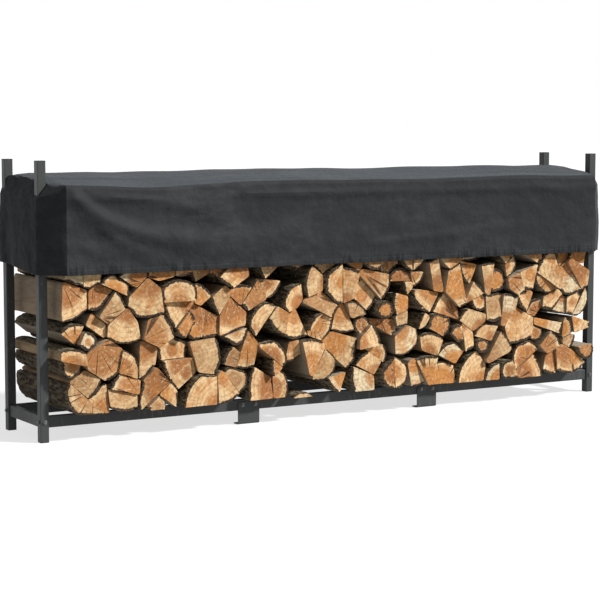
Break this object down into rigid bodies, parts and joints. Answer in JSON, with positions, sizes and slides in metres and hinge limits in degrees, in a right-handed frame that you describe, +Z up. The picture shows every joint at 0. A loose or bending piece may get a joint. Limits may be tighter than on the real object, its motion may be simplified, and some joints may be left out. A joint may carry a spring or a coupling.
{
  "type": "log store",
  "caption": "Long steel firewood rack full of split logs, with square posts, bottom rails on angle feet and a dark cloth cover draped over the top of the pile.",
  "frame": {"origin": "on the ground under the middle of the rack", "axes": "+X along the rack to the right, +Y from the front to the back, +Z up"},
  "size_m": [2.976, 0.614, 1.19],
  "materials": {
    "powder_coated_steel": "dark grey powder coat, slightly textured",
    "cap_plastic": "moulded dark grey inserts",
    "cover_cloth": "charcoal woven polyester with a dull coating",
    "firewood": "split hardwood, sawn ends with rings, grey-brown bark"
  },
  "bodies": {
    "root": {"back_left_foot": "powder_coated_steel", "back_left_post": "powder_coated_steel", "back_left_post_cap": "cap_plastic", "back_left_post_foot_cap": "cap_plastic", "back_left_rail": "powder_coated_steel", "back_middle_rail": "powder_coated_steel", "back_right_foot": "powder_coated_steel", "back_right_post": "powder_coated_steel", "back_right_post_cap": "cap_plastic", "back_right_post_foot_cap": "cap_plastic", "back_right_rail": "powder_coated_steel", "cover_back": "cover_cloth", "cover_front": "cover_cloth", "cover_left_end": "cover_cloth", "cover_right_end": "cover_cloth", "cover_top": "cover_cloth", "front_left_foot": "powder_coated_steel", "front_left_post": "powder_coated_steel", "front_left_post_cap": "cap_plastic", "front_left_post_foot_cap": "cap_plastic", "front_left_rail": "powder_coated_steel", "front_middle_rail": "powder_coated_steel", "front_right_foot": "powder_coated_steel", "front_right_post": "powder_coated_steel", "front_right_post_cap": "cap_plastic", "front_right_post_foot_cap": "cap_plastic", "front_right_rail": "powder_coated_steel", "left_end_bar": "powder_coated_steel", "log_course_1": "firewood", "log_course_2": "firewood", "log_course_3": "firewood", "log_course_4": "firewood", "log_course_5": "firewood", "log_course_6": "firewood", "log_course_7": "firewood", "right_end_bar": "powder_coated_steel"}
  },
  "joints": []
}
